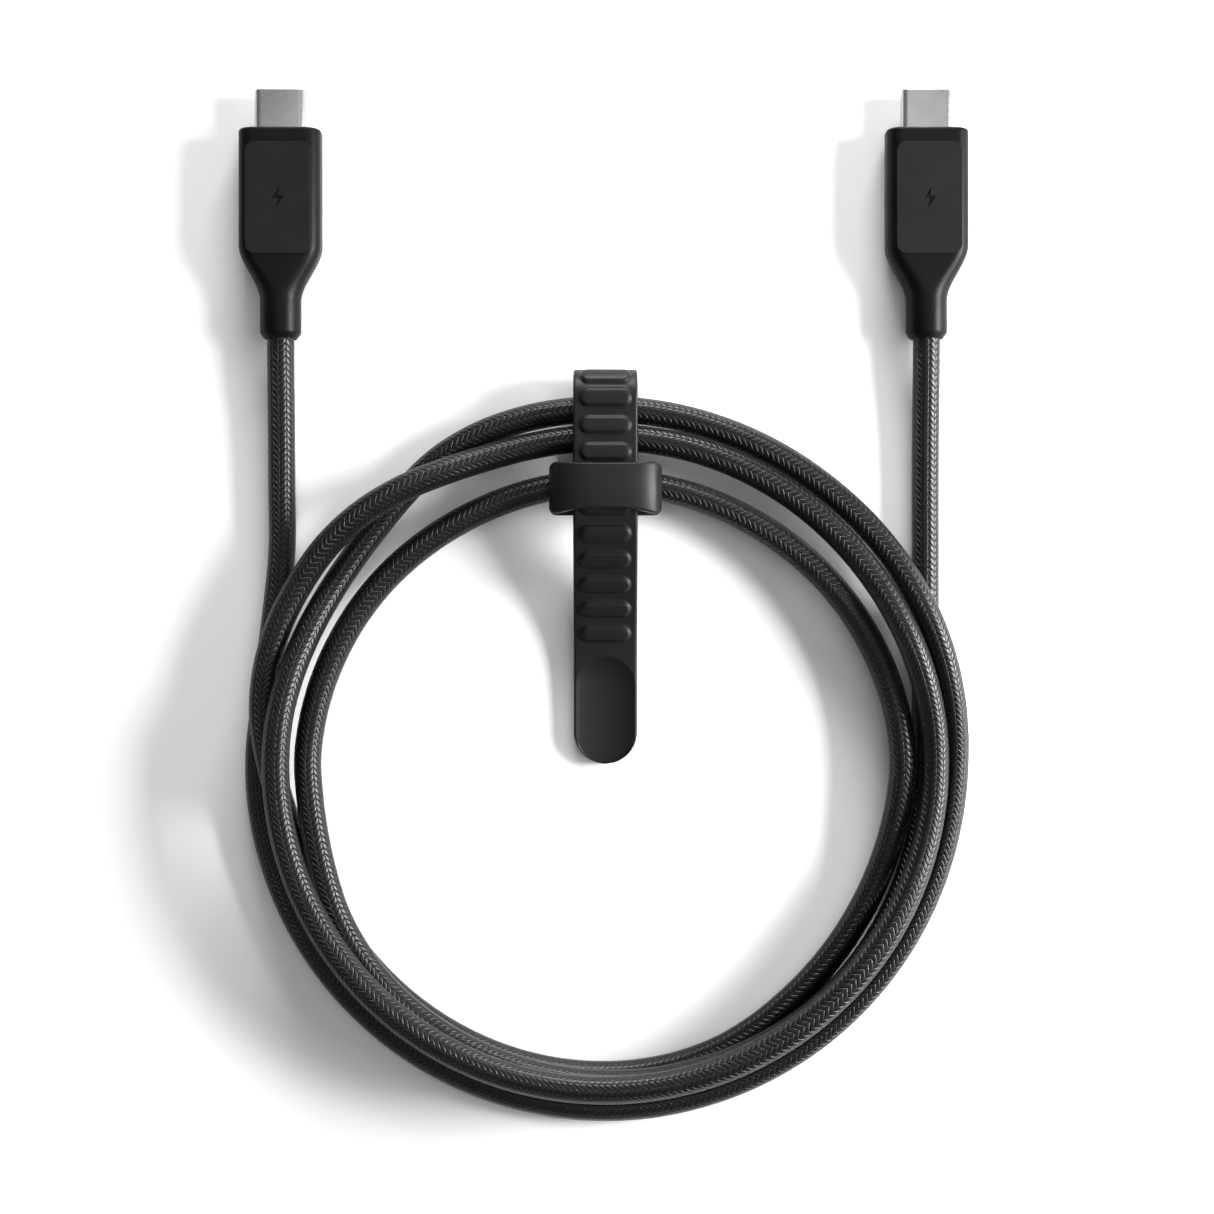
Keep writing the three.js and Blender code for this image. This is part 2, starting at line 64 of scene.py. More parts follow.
BODY_WIDTH, BODY_HEIGHT, BODY_CORNER = 13.05 * MM, 6.36 * MM, 2.3 * MM
BODY_STRAIGHT, BODY_TAPER, BODY_NECK = 18.4 * MM, 8.8 * MM, 6.0 * MM
NECK_RADIUS, NECK_END_RADIUS, NECK_BORE = 3.25 * MM, 2.65 * MM, 2.35 * MM
PAD_WIDTH, PAD_LENGTH, PAD_CORNER, PAD_RAISE = 10.3 * MM, 17.7 * MM, 1.5 * MM, 0.15 * MM
PAD_FROM = 2.4 * MM
CAVITY_WIDTH, CAVITY_HEIGHT, CAVITY_BACK = 10.7 * MM, 4.5 * MM, 16.6 * MM
FRONT_WALL = 1.4 * MM
CAVITY_CORNER, CAVITY_END = 1.2 * MM, 24 * MM  # the end is where its taper meets the bore
FRONT_EDGE, SHELL_EDGE = 0.5 * MM, 0.12 * MM  # rounding of the front edges
MOUTH_GAP = 0.1 * MM  # around the shell
PAD_SUNK, PAD_EDGE = 0.25 * MM, 0.05 * MM  # depth in the body, rounding of the edge
SHELL_WIDTH, SHELL_HEIGHT, SHELL_CORNER = 8.25 * MM, 2.4 * MM, 1.15 * MM
SHELL_WALL, SHELL_OUT, SHELL_BACK = 0.2 * MM, 6.4 * MM, 8.0 * MM

TIE_X = 0.3 * MM
STRAP_WIDTH, STRAP_THICK, STRAP_EDGE = 10.15 * MM, 1.8 * MM, 0.35 * MM
FOLD_Y = 3.97 * MM
INNER_BEND_Y = -9.25 * MM  # where the strap turns up around the inner strand
STRAP_JOIN_Y = 1.5 * MM  # where its fixed run ends and the free one begins, underneath
STRAP_JOIN_GAP = 0.3 * MM  # between the fixed run and the keeper
STRAP_STEP = 0.2 * MM
STRAP_FULLNESS = 0.6  # under 1 makes the rounded edge squarer
FRONT_Z = 9.15 * MM
TAIL_TIP_Y = -53.7 * MM
KEEPER_WIDTH, KEEPER_BASE_Z, KEEPER_BASE = 17.7 * MM, 6.65 * MM, 1.3 * MM
KEEPER_WALL, KEEPER_INNER = 1.3 * MM, 3.2 * MM
KEEPER_BACK, KEEPER_FRONT = -14.2 * MM, -5.9 * MM
KEEPER_CROWN_BACK, KEEPER_CROWN_FRONT = -13.2 * MM, -6.2 * MM
KEEPER_CORNER = 1.0 * MM  # of its outline seen from above
KEEPER_ROUNDNESS = 2.6
KEEPER_FILLET = 0.38 * MM
KEEPER_BOW = 0.25 * MM  # how far the band swells across its width

# The cord's turns, as in the part: degrees travelled, radius from the coil's centre, height.
TURNS = np.array([
    (172, 55.3, 2.2), (188, 55.6, 2.2), (270, 55.7, 2.2), (340, 55.7, 2.2), (358, 55.7, 3.0),
    (368, 55.7, 4.9), (379, 55.7, 6.7), (387, 55.7, 6.7), (397, 55.7, 5.5), (412, 55.6, 4.4),
    (430, 55.6, 4.2), (467, 55.6, 4.2),
    (480, 54.6, 3.2), (490, 52.7, 3.2), (500, 51.5, 3.8), (510, 51.1, 5.3), (520, 51.1, 7.8),
    (530, 51.3, 10.2), (541, 51.4, 10.8), (562, 51.4, 10.8), (585, 51.2, 11.2),
    (630, 50.8, 11.3), (662, 51.0, 11.1), (690, 51.5, 9.8), (708, 51.9, 7.4), (720, 51.9, 6.9),
    (729, 51.8, 7.5), (737, 51.5, 8.4), (745, 51.3, 8.2), (756, 51.2, 7.0), (770, 51.2, 5.9),
    (790, 51.2, 5.7), (827, 51.2, 5.7),
    (840, 52.3, 7.7), (850, 54.0, 8.4), (860, 55.3, 7.7), (870, 55.7, 6.9), (880, 55.7, 6.8),
    (890, 54.9, 6.9), (900, 53.1, 6.3), (910, 51.6, 4.6), (920, 50.7, 3.0), (934, 50.4, 2.2),
    (990, 50.5, 2.2), (1010, 50.0, 2.2), (1030, 48.3, 2.5), (1050, 47.2, 3.4),
    (1068, 46.9, 4.7), (1080, 47.1, 5.2), (1110, 45.7, 4.6), (1140, 44.4, 4.2),
    (1170, 44.1, 4.2), (1200, 44.4, 4.2), (1230, 45.8, 4.6), (1260, 47.2, 5.4),
    (1270, 47.1, 6.3), (1282, 47.9, 6.8), (1291, 48.9, 6.9), (1306, 49.9, 6.8),
    (1350, 50.8, 6.75), (1372, 51.2, 6.6), (1390, 51.7, 5.7), (1406, 51.7, 5.0),
    (1420, 51.5, 3.9), (1430, 51.2, 2.7), (1440, 51.1, 2.2),
])
TURN_STEP = 7.5  # degrees between the points worked out along the turns
LEAD = np.array([(15.8, 3.3), (10, 3.2), (0, 2.5), (-10, 2.2), (-20, 2.2)]) * MM  # y, z
LEAD_BELOW = np.array([(-40, 2.2), (-30, 2.2)]) * MM  # two more on the right, y, z

# Mid-thickness of the strap's free end, as y, z.
TAIL_LINE = np.array([
    (3.67, 9.15), (-2, 9.15), (-8, 9.15), (-13.5, 9.05), (-17.5, 8.1), (-21.5, 6.6),
    (-25.5, 5.0), (-29.5, 3.5), (-33.5, 2.4), (-38, 1.75), (-43, 1.5), (-48, 1.4),
]) * MM
LUG_PITCH, LUG_WIDTH, LUG_LENGTH, LUG_RAISE = 4.2 * MM, 8.0 * MM, 2.7 * MM, 0.55 * MM
LUG_FIRST, LUG_COUNT = 3.8 * MM, 9  # the first one's way along the free end
LUG_ON_BEND = 3.3 * MM  # the one on the fold sits closer to its neighbour
THUMB_START = -41.2 * MM  # y where the round end of its dish begins
THUMB_RADIUS, THUMB_DEPTH = 4.75 * MM, 0.75 * MM

BRAID_COLUMNS = 12
BRAID_PITCH = 0.98 * MM  # one chevron
BRAID_RELIEF = 0.14 * MM
CORD_SIDES, CORD_STEP = 28, 0.75 * MM

CAMERA_PLACE = (0.55 * MM, -28.6 * MM, 320 * MM)
VIEW_WIDTH = 195.5 * MM  # of floor, across the picture


# ---- camera ----------------------------------------------------------------------------

def make_camera():
    data = bpy.data.cameras.new("camera")
    data.sensor_width = 36
    data.lens = 36 * CAMERA_PLACE[2] / VIEW_WIDTH
    data.clip_start, data.clip_end = 0.01, 10
    camera = bpy.data.objects.new("camera", data)
    camera.location = CAMERA_PLACE
    bpy.context.scene.collection.objects.link(camera)
    bpy.context.scene.camera = camera


# ---- mesh helpers ----------------------------------------------------------------------

def new_mesh(name, vertices, faces, sharp=None):
    mesh = bpy.data.meshes.new(name)
    faces = faces.tolist() if isinstance(faces, np.ndarray) else faces
    mesh.from_pydata(np.asarray(vertices).tolist(), [], faces)
    mesh.update()
    mesh.shade_smooth()
    if sharp is not None:
        mesh.set_sharp_from_angle(angle=math.radians(sharp))
    piece = bpy.data.objects.new(name, mesh)
    bpy.context.scene.collection.objects.link(piece)
    return piece


def skin(rings, around=True, along=False):
    """Quads over a grid of points, closed around each ring and, if asked, end to end."""
    count, size = rings.shape[:2]
    i = np.arange(count if along else count - 1)[:, None]
    j = np.arange(size if around else size - 1)[None, :]
    a, b = i * size + j, i * size + (j + 1) % size
    c, d = ((i + 1) % count) * size + (j + 1) % size, ((i + 1) % count) * size + j
    return np.stack([a, b, c, d], -1).reshape(-1, 4)


def facing_out(piece):
    """Turns the faces of a closed mesh outwards."""
    work = bmesh.new()
    work.from_mesh(piece.data)
    bmesh.ops.recalc_face_normals(work, faces=work.faces)
    work.to_mesh(piece.data)
    work.free()
    return piece


def smooth_step(t):
    t = np.clip(t, 0, 1)
    return t * t * (3 - 2 * t)


def through(points, steps):
    """A smooth line through the points, with that many points for each stretch."""
    points = np.asarray(points, float)
    ends = [2 * points[0] - points[1], 2 * points[-1] - points[-2]]
    p = np.vstack([ends[0], points, ends[1]])
    knots = np.r_[0, np.cumsum(np.sqrt(np.linalg.norm(np.diff(p, axis=0), axis=1)))]
    line = []
    for k in range(1, len(p) - 2):
        t = np.linspace(knots[k], knots[k + 1], steps, endpoint=False)[:, None]
        t0, t1, t2, t3 = knots[k - 1 : k + 3]
        a = ((t1 - t) * p[k - 1] + (t - t0) * p[k]) / (t1 - t0)
        b = ((t2 - t) * p[k] + (t - t1) * p[k + 1]) / (t2 - t1)
        c = ((t3 - t) * p[k + 1] + (t - t2) * p[k + 2]) / (t3 - t2)
        d = ((t2 - t) * a + (t - t0) * b) / (t2 - t0)
        e = ((t3 - t) * b + (t - t1) * c) / (t3 - t1)
        line.append(((t2 - t) * d + (t - t1) * e) / (t2 - t1))
    return np.vstack([*line, points[-1:]])


def evenly(line, step):
    """The same line with points an even step apart, and how far along each one lies."""
    lengths = np.r_[0, np.cumsum(np.linalg.norm(np.diff(line, axis=0), axis=1))]
    count = max(2, round(lengths[-1] / step) + 1)
    at = np.linspace(0, lengths[-1], count)
    return np.stack([np.interp(at, lengths, line[:, k]) for k in range(3)], 1), at


def along(line):
    """Unit tangents, and a pair of cross directions carried along without twist."""
    tangent = np.gradient(line, axis=0)
    tangent /= np.linalg.norm(tangent, axis=1)[:, None]
    side = np.zeros_like(line)
    side[0] = np.cross(tangent[0], (0, 0, 1))
    side[0] /= np.linalg.norm(side[0])
    for k in range(1, len(line)):
        carried = side[k - 1] - tangent[k] * (side[k - 1] @ tangent[k])
        side[k] = carried / np.linalg.norm(carried)
    return tangent, side, np.cross(tangent, side)


# ---- cord ------------------------------------------------------------------------------

def turn_at(angle):
    """Radius and height at an angle travelled, by a smooth curve through TURNS."""
    i = int(np.clip(np.searchsorted(TURNS[:, 0], angle, "left") - 1, 0, len(TURNS) - 2))

    def slope(k):
        before, after = TURNS[max(k - 1, 0)], TURNS[min(k + 1, len(TURNS) - 1)]
        return (after[1:] - before[1:]) / (after[0] - before[0])

    start, end = TURNS[i], TURNS[i + 1]
    span = end[0] - start[0]
    t = (angle - start[0]) / span
    return (
        start[1:] * (2 * t**3 - 3 * t**2 + 1) + slope(i) * span * (t**3 - 2 * t**2 + t)
        + end[1:] * (3 * t**2 - 2 * t**3) + slope(i + 1) * span * (t**3 - t**2)
    ) * MM


def cord_route():
    route = [(-PLUG_X, y, z) for y, z in LEAD]
    for angle in np.arange(TURNS[0][0], TURNS[-1][0] + 1e-6, TURN_STEP):
        radius, z = turn_at(angle)
        turn = math.radians(angle)
        x, y = COIL_CENTRE + radius * np.array([math.cos(turn), math.sin(turn)])
        route.append((x, y, z))
    route += [(PLUG_X, y, z) for y, z in (*LEAD_BELOW, *LEAD[::-1])]
    return evenly(through(route, 24), CORD_STEP)


def lay_out(cord, sides, chevrons):
    """UVs on the cord: once around it is 1 in U, and one chevron along it is 1 in V."""
    mesh = cord.data
    corners = np.empty(len(mesh.loops), int)
    mesh.loops.foreach_get("vertex_index", corners)
    ring, place = corners // sides, corners % sides
    quads = len(mesh.polygons) - 2
    last_strip = np.repeat(np.arange(quads) % sides == sides - 1, 4)
    u = place / sides
    u[: 4 * quads][last_strip & (place[: 4 * quads] == 0)] = 1.0
    layer = mesh.uv_layers.new(name="braid")
    layer.data.foreach_set("uv", np.stack([u, chevrons[ring]], 1).ravel().astype(np.float32))


def make_cord():
    line, at = cord_route()
    _, side, up = along(line)
    angle = 2 * np.pi * np.arange(CORD_SIDES) / CORD_SIDES
    rings = line[:, None] + CORD_RADIUS * (
        np.cos(angle)[None, :, None] * side[:, None] + np.sin(angle)[None, :, None] * up[:, None]
    )
    faces = skin(rings).tolist()
    last = (len(line) - 1) * CORD_SIDES
    faces.append(list(range(CORD_SIDES)))
    faces.append(list(range(last + CORD_SIDES - 1, last - 1, -1)))
    cord = facing_out(new_mesh("cord", rings.reshape(-1, 3), faces))
    lay_out(cord, CORD_SIDES, at / BRAID_PITCH)
    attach(cord, "cable")
    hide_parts("braided_cord")
    return cord


make_camera()
cord = make_cord()


# ---- plugs -----------------------------------------------------------------------------

def rounded_ring(width, height, corner, y, arc=14):
    """A rounded rectangle in the XZ plane."""
    corner = min(corner, width / 2 - 1e-6, height / 2 - 1e-6)
    points = []
    for sx, sz, start in ((1, 1, 0), (-1, 1, 90), (-1, -1, 180), (1, -1, 270)):
        turn = np.radians(start + np.linspace(0, 90, arc + 1))
        x = sx * (width / 2 - corner) + corner * np.cos(turn)
        z = sz * (height / 2 - corner) + corner * np.sin(turn)
        points.append(np.stack([x, np.full_like(x, y), z], 1))
    return np.vstack(points)


def edge_rings(width, height, corner, y, radius, way, count=6):
    """Rings over a rounded edge that ends at y; way is +1 at a front edge, -1 at a back one."""
    rings = []
    for turn in np.linspace(0, np.pi / 2, count):
        inset = radius * (1 - math.cos(turn))
        rings.append(rounded_ring(
            width - 2 * inset, height - 2 * inset, corner - 0.5 * inset,
            y - way * radius * (1 - math.sin(turn)),
        ))
    return rings if way > 0 else rings[::-1]


def make_plug_body(name, x):
    end = -(BODY_STRAIGHT + BODY_TAPER + BODY_NECK)
    bore = 2 * NECK_BORE
    neck = 2 * NECK_RADIUS
    neck_end = 2 * NECK_END_RADIUS
    rings = [
        rounded_ring(bore, bore, NECK_BORE, end + 0.15 * MM),
        rounded_ring(bore + 0.25 * MM, bore + 0.25 * MM, NECK_BORE + 0.12 * MM, end),
        rounded_ring(neck_end - 0.2 * MM, neck_end - 0.2 * MM, NECK_END_RADIUS - 0.1 * MM, end),
        rounded_ring(neck_end, neck_end, NECK_END_RADIUS, end + 0.08 * MM),
        rounded_ring(neck - 0.1 * MM, neck - 0.1 * MM, NECK_RADIUS, end + 0.85 * MM),
        rounded_ring(neck, neck, NECK_RADIUS, end + 1.05 * MM),
    ]
    for t in np.linspace(1, 0, 34):
        ease = float(smooth_step(t))
        rings.append(rounded_ring(
            BODY_WIDTH + (neck - BODY_WIDTH) * ease, BODY_HEIGHT + (neck - BODY_HEIGHT) * ease,
            BODY_CORNER + (NECK_RADIUS - BODY_CORNER) * ease, -(BODY_STRAIGHT + BODY_TAPER * t),
        ))
    rings += edge_rings(BODY_WIDTH, BODY_HEIGHT, BODY_CORNER, 0, FRONT_EDGE, 1, 9)
    hole = (SHELL_WIDTH + 2 * MOUTH_GAP, SHELL_HEIGHT + 2 * MOUTH_GAP, SHELL_CORNER + MOUTH_GAP)
    rings += [
        rounded_ring(*hole, 0), rounded_ring(*hole, -FRONT_WALL),
        rounded_ring(CAVITY_WIDTH, CAVITY_HEIGHT, CAVITY_CORNER, -FRONT_WALL),
        rounded_ring(CAVITY_WIDTH, CAVITY_HEIGHT, CAVITY_CORNER, -CAVITY_BACK),
        rounded_ring(bore, bore, NECK_BORE, -CAVITY_END),
    ]
    rings = np.array(rings) + np.array([x, FACE_Y, PLUG_Z])
    piece = new_mesh(name, rings.reshape(-1, 3), skin(rings, along=True), sharp=40)
    return facing_out(piece)


def rounded_outline(width, length, corner, arc=10):
    points = []
    for sx, sy, start in ((1, 1, 0), (-1, 1, 90), (-1, -1, 180), (1, -1, 270)):
        turn = np.radians(start + np.linspace(0, 90, arc + 1))
        points += zip(
            sx * (width / 2 - corner) + corner * np.cos(turn),
            sy * (length / 2 - corner) + corner * np.sin(turn),
        )
    return points


# A plain lightning bolt, the common sign for charging, about its own centre.
BOLT = np.array([(0.35, 1.9), (-1.05, -0.25), (-0.1, -0.25), (-0.35, -1.9),
                 (1.05, 0.25), (0.1, 0.25)]) * MM


def make_pad(name, x, side):
    """The raised flat on a plug's broad face, with the sign sunk into it."""
    curve = bpy.data.curves.new(name, "CURVE")
    curve.dimensions = "2D"
    curve.fill_mode = "BOTH"
    curve.extrude = (PAD_RAISE + PAD_SUNK) / 2 - PAD_EDGE
    curve.bevel_depth = PAD_EDGE
    curve.bevel_resolution = 3
    outline = rounded_outline(PAD_WIDTH - 2 * PAD_EDGE, PAD_LENGTH - 2 * PAD_EDGE, PAD_CORNER)
    for points in (outline, BOLT):
        spline = curve.splines.new("POLY")
        spline.points.add(len(points) - 1)
        for point, (px, py) in zip(spline.points, points):
            point.co = (px, py, 0, 1)
        spline.use_cyclic_u = True
    flat = bpy.data.objects.new(name + "_outline", curve)
    bpy.context.scene.collection.objects.link(flat)
    mesh = bpy.data.meshes.new_from_object(flat.evaluated_get(
        bpy.context.evaluated_depsgraph_get()))
    bpy.data.objects.remove(flat)
    bpy.data.curves.remove(curve)
    middle = side * (BODY_HEIGHT / 2 + PAD_RAISE - (PAD_RAISE + PAD_SUNK) / 2)
    points = np.array([v.co for v in mesh.vertices])
    points += np.array([x, FACE_Y - PAD_FROM - PAD_LENGTH / 2, PLUG_Z + middle])
    mesh.vertices.foreach_set("co", points.ravel())
    mesh.name = name
    mesh.update()
    mesh.shade_smooth()
    mesh.set_sharp_from_angle(angle=math.radians(50))
    piece = bpy.data.objects.new(name, mesh)
    bpy.context.scene.collection.objects.link(piece)
    return piece


def make_shell(name, x):
    wall = SHELL_WALL
    inner = (SHELL_WIDTH - 2 * wall, SHELL_HEIGHT - 2 * wall, SHELL_CORNER - wall)
    outer = (SHELL_WIDTH, SHELL_HEIGHT, SHELL_CORNER)
    rings = [rounded_ring(*inner, -SHELL_BACK), rounded_ring(*outer, -SHELL_BACK)]
    rings += edge_rings(*outer, SHELL_OUT, SHELL_EDGE, 1, 5)
    rings += [rounded_ring(*inner, SHELL_OUT - 0.05 * MM)]
    rings = np.array(rings) + np.array([x, FACE_Y, PLUG_Z])
    piece = new_mesh(name, rings.reshape(-1, 3), skin(rings, along=True), sharp=40)
    return facing_out(piece)


def make_plugs():
    made = {"plug_body": [], "shell_steel": []}
    for side, x in (("left", -PLUG_X), ("right", PLUG_X)):
        shell = make_shell(f"{side}_shell", x)
        body = make_plug_body(f"{side}_body", x)
        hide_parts(f"{side}_plug_steel_shell")
        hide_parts(f"{side}_plug_body")
        pads = [make_pad(f"{side}_pad_{n}", x, s) for n, s in (("top", 1), ("bottom", -1))]
        made["plug_body"] += [body, *pads]
        made["shell_steel"].append(shell)
    for slot, group in made.items():
        for piece in group:
            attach(piece, "cable")
    return made


# ---- tie -------------------------------------------------------------------------------

def arc(y, z, radius, start, end, count):
    turn = np.radians(np.linspace(start, end, count))
    return np.stack([y + radius * np.cos(turn), z + radius * np.sin(turn)], 1)


def sweep_strap(name, line, shape=None, tip=False):
    """A strap along a line of (y, z) points; its outer side is on the left of its way.

    shape(s, x) gives how far the outer surface stands up, s along the line and x across it.
    """
    path = np.column_stack([np.zeros(len(line)), line])
    path, at = evenly(path, STRAP_STEP)
    way = np.gradient(path, axis=0)
    way /= np.linalg.norm(way, axis=1)[:, None]
    out = np.stack([np.zeros(len(path)), way[:, 2], -way[:, 1]], 1)
    total = at[-1]
    radius = STRAP_WIDTH / 2
    half = np.full(len(path), radius)
    if tip:
        back = np.clip(total - at, 0, radius)
        half = np.sqrt(np.clip(radius**2 - (radius - back) ** 2, (0.02 * radius) ** 2, None))
    turn = np.radians(np.linspace(90, -90, 9))
    side = np.sign(np.sin(turn)) * np.abs(np.sin(turn)) ** STRAP_FULLNESS * STRAP_THICK / 2
    across = np.linspace(-1, 1, 61)
    rings = []
    for k in range(len(path)):
        reach = half[k]
        soft = min(STRAP_EDGE, reach * 0.9)
        flat = across * (reach - soft)
        rise = shape(at[k], flat) if shape else np.zeros_like(flat)
        top = np.stack([flat, STRAP_THICK / 2 + rise], 1)
        right = np.stack([reach - soft + soft * np.cos(turn), side], 1)
        under = np.stack([flat[::-6], np.full(len(flat[::-6]), -STRAP_THICK / 2)], 1)
        left = right[::-1] * (-1, 1)
        outline = np.vstack([top, right[1:-1], under, left[1:-1]])
        rings.append(path[k] + outline[:, :1] * np.array([1, 0, 0]) + outline[:, 1:] * out[k])
    rings = np.array(rings) + np.array([TIE_X, 0, 0])
    size = rings.shape[1]
    faces = skin(rings).tolist()
    faces.append(list(range(size)))
    faces.append(list(range(len(rings) * size - 1, (len(rings) - 1) * size - 1, -1)))
    return facing_out(new_mesh(name, rings.reshape(-1, 3), faces))


def strap_relief(start):
    """Height of the lugs and the dish of the thumb pad. start is where the free end begins."""
    half_width, half_length = LUG_WIDTH / 2, LUG_LENGTH / 2
    first = start + LUG_FIRST
    centres = first + LUG_PITCH * np.arange(-1, LUG_COUNT)
    centres = np.r_[centres[0] - LUG_ON_BEND, centres]
    tail = through(np.column_stack([np.zeros(len(TAIL_LINE)), TAIL_LINE]), 12)
    lengths = np.r_[0, np.cumsum(np.linalg.norm(np.diff(tail, axis=0), axis=1))]
    thumb = start + np.interp(-THUMB_START, -tail[:, 1], lengths)

    def shape(s, x):
        near = centres[np.argmin(np.abs(centres - s))]
        core = np.clip(np.abs(x) - (half_width - half_length), 0, None)
        away = np.clip(np.hypot(core, s - near) / half_length, 0, 1)
        lug = LUG_RAISE * np.clip((1 - away**7) * (1 - 0.12 * away), 0, 1) ** 0.8
        u = x / THUMB_RADIUS
        v = max(thumb - s, 0) / THUMB_RADIUS
        inside = np.clip(1 - u**2 - v**2, 0, 1)
        return lug - THUMB_DEPTH * inside**0.85

    return shape


def make_strap():
    """The strap in two pieces: the fixed run with its inner bend, and the run that folds over."""
    outer = (KEEPER_BASE_Z + KEEPER_BASE) / 2
    middle = outer - STRAP_THICK / 2
    fixed = np.vstack([
        [(INNER_BEND_Y - middle, KEEPER_BASE_Z - STRAP_JOIN_GAP)],
        arc(INNER_BEND_Y, outer, middle, 180, 270, 24), [(STRAP_JOIN_Y, STRAP_THICK / 2)],
    ])
    fold_middle = (FRONT_Z - STRAP_THICK / 2) / 2
    fold_z = STRAP_THICK / 2 + fold_middle
    tail = through(np.column_stack([np.zeros(len(TAIL_LINE)), TAIL_LINE]), 12)[:, 1:]
    lead = np.vstack([
        [(STRAP_JOIN_Y, STRAP_THICK / 2)], arc(FOLD_Y, fold_z, fold_middle, -90, 90, 40),
    ])
    start = float(np.linalg.norm(np.diff(np.vstack([lead, tail[:1]]), axis=0), axis=1).sum())
    end = [(TAIL_TIP_Y, TAIL_LINE[-1][1])]
    free = np.vstack([lead, tail, end])
    anchor = sweep_strap("strap_anchor", fixed[::-1])
    strap = sweep_strap("strap", free, strap_relief(start), tip=True)
    return anchor, strap


def make_keeper():
    """A closed band: a flat base and a bowed arch, with its edges drawn in at the crown."""
    half = KEEPER_WIDTH / 2
    floor = KEEPER_BASE_Z + KEEPER_BASE
    power = 2 / KEEPER_ROUNDNESS

    def outline(width, height, drop, count_arch=96, count_base=40):
        turn = np.linspace(0, np.pi, count_arch)
        x = width * np.sign(np.cos(turn)) * np.abs(np.cos(turn)) ** power
        z = height * np.abs(np.sin(turn)) ** power
        corner = min(0.8 * MM, drop * 0.8 + 0.1 * MM)
        round_turn = np.radians(np.linspace(180, 270, 8))
        left = np.stack([-width + corner + corner * np.cos(round_turn),
                         -drop + corner + corner * np.sin(round_turn)], 1)
        right = left[::-1] * (-1, 1)
        base = np.stack([np.linspace(-width + corner, width - corner, count_base)[1:-1],
                         np.full(count_base - 2, -drop)], 1)
        return np.vstack([np.stack([x, z], 1), left, base, right])

    outer = outline(half, KEEPER_INNER + KEEPER_WALL, KEEPER_BASE)
    inner = outline(half - KEEPER_WALL, KEEPER_INNER, 0.0)
    rings = []
    crown = KEEPER_INNER + KEEPER_WALL
    for o, i in zip(outer, inner):
        rise = (max(0.0, o[1]) / crown) ** 3
        back = KEEPER_BACK + (KEEPER_CROWN_BACK - KEEPER_BACK) * rise
        front = KEEPER_FRONT + (KEEPER_CROWN_FRONT - KEEPER_FRONT) * rise
        near_end = np.clip(abs(o[0]) - (half - KEEPER_CORNER), 0, KEEPER_CORNER)
        cut = KEEPER_CORNER - math.sqrt(KEEPER_CORNER**2 - near_end**2)
        front, back = front - 0.8 * cut, back + 0.8 * cut
        middle, reach = (back + front) / 2, (front - back) / 2
        thick = np.linalg.norm(o - i)
        radius = min(KEEPER_FILLET, thick * 0.45)
        section = []
        for u in np.linspace(-1, 1, 25):
            y = middle + u * (reach - radius)
            bow = KEEPER_BOW * (1 - u * u)
            section.append((y, 1.0, bow))
        for turn in np.radians(np.linspace(75, 0, 6)):
            section.append((middle + reach - radius + radius * math.cos(turn),
                            1 - radius * (1 - math.sin(turn)) / thick, 0))
        for turn in np.radians(np.linspace(0, 75, 6)):
            section.append((middle + reach - radius + radius * math.cos(turn),
                            radius * (1 - math.sin(turn)) / thick, 0))
        for u in np.linspace(1, -1, 7):
            section.append((middle + u * (reach - radius), 0.0, 0))
        for turn in np.radians(np.linspace(75, 0, 6)):
            section.append((middle - reach + radius - radius * math.cos(turn),
                            radius * (1 - math.sin(turn)) / thick, 0))
        for turn in np.radians(np.linspace(0, 75, 6)):
            section.append((middle - reach + radius - radius * math.cos(turn),
                            1 - radius * (1 - math.sin(turn)) / thick, 0))
        way = (o - i) / thick
        ring = []
        for y, share, bow in section:
            place = i + (o - i) * share + way * (bow if o[1] > 0 else 0) * min(1, rise * 4)
            ring.append((TIE_X + place[0], y, floor + place[1]))
        rings.append(ring)
    rings = np.array(rings)
    piece = new_mesh("keeper", rings.reshape(-1, 3), skin(rings, along=True), sharp=50)
    return facing_out(piece)


def make_tie():
    anchor, strap = make_strap()
    keeper = make_keeper()
    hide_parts("strap_back_run")
    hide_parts("strap_fold", "strap_tail")
    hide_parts("keeper_loop")
    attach(anchor, "tie")
    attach(keeper, "tie")
    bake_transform(strap)
    return [anchor, strap, keeper]


plug_pieces = make_plugs()
tie_pieces = make_tie()


# ---- materials -------------------------------------------------------------------------

BRAID_GLOSS, PLASTIC_GLOSS, SILICONE_GLOSS = 0.34, 0.09, 0.18  # specular levels


